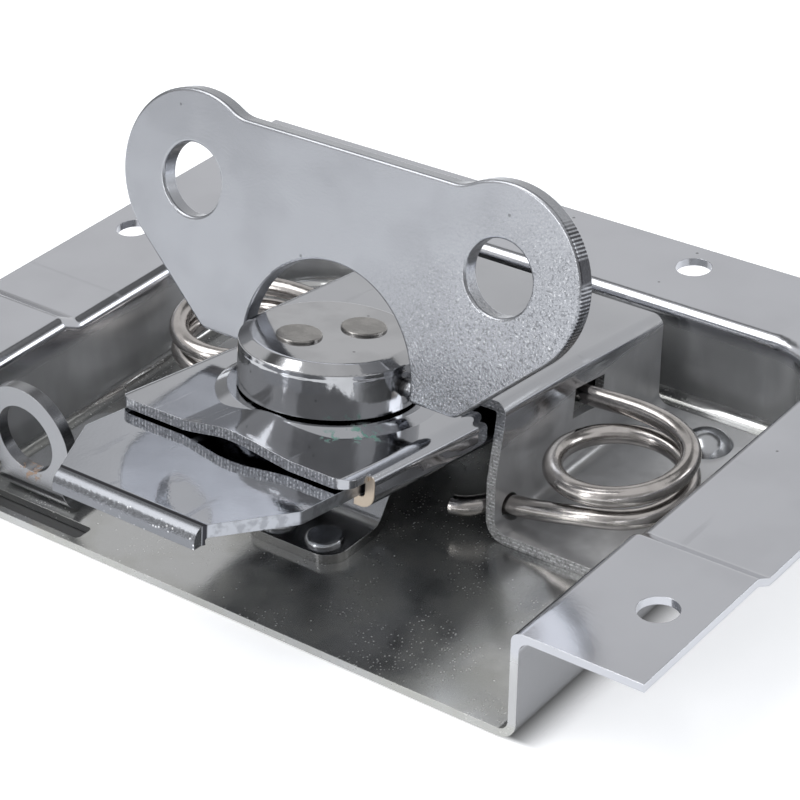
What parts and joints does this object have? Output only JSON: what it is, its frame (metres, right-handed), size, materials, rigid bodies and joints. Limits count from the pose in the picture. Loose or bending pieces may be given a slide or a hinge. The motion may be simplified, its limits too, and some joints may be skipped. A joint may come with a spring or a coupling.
{
  "type": "butterfly case latch",
  "caption": "Recessed butterfly latch half in plated sheet steel: open-front dish, sprung channel, sliding hook, turning boss with folding wing handle, and a padlock eye.",
  "frame": {"origin": "midway between the two side screw holes, on the flange's top face", "axes": "+X to the right seen from the open front, +Y from the open front to the back wall, +Z out of the case"},
  "size_m": [0.112, 0.0913, 0.0463],
  "materials": {
    "plated_sheet": "zinc plated, satin to bright",
    "plated_bright": "bright plated",
    "plated_boss": "polished",
    "plated_rivet": "satin",
    "spring_steel": "drawn wire",
    "zinc_wing": "fine matt grain"
  },
  "bodies": {
    "base": {"dish": "plated_sheet", "padlock_eye": "plated_sheet", "bracket": "plated_bright", "bracket_rivet_right": "plated_rivet", "bracket_rivet_left": "plated_rivet", "front_strut": "plated_bright", "strut_rivet_right": "plated_rivet", "strut_rivet_left": "plated_rivet", "spring_right": "spring_steel", "spring_left": "spring_steel"},
    "carriage": {"channel": "plated_bright"},
    "hook": {"hook_plate": "plated_bright"},
    "turn": {"boss": "plated_boss", "boss_rivet_front": "plated_rivet", "boss_rivet_back": "plated_rivet", "spindle": "plated_rivet", "cam": "plated_rivet"},
    "handle": {"wing": "zinc_wing"}
  },
  "joints": [
    {"name": "carriage_float", "type": "slide", "parent": "base", "child": "carriage", "axis": [0, -0.9863, 0.165], "range_m": [0, 0.0025], "stiffness_N_per_m": 2000, "springref_m": -0.004},
    {"name": "boss_turn", "type": "hinge", "parent": "carriage", "child": "turn", "pos_m": [0, -0.0229, 0.00432], "axis": [0, 0.165, 0.9863], "range_deg": [0, 180]},
    {"name": "hook_draw", "type": "slide", "parent": "carriage", "child": "hook", "axis": [0, 0.9863, -0.165], "range_m": [0, 0.006]},
    {"name": "wing_flip", "type": "hinge", "parent": "turn", "child": "handle", "pos_m": [0, -0.02229, 0.00797], "axis": [1, 0, 0], "range_deg": [-82.7, 93.3]}
  ],
  "couplings": [
    {"joint": "hook_draw", "follows": "boss_turn", "m_per_rad": 0.0019099}
  ]
}
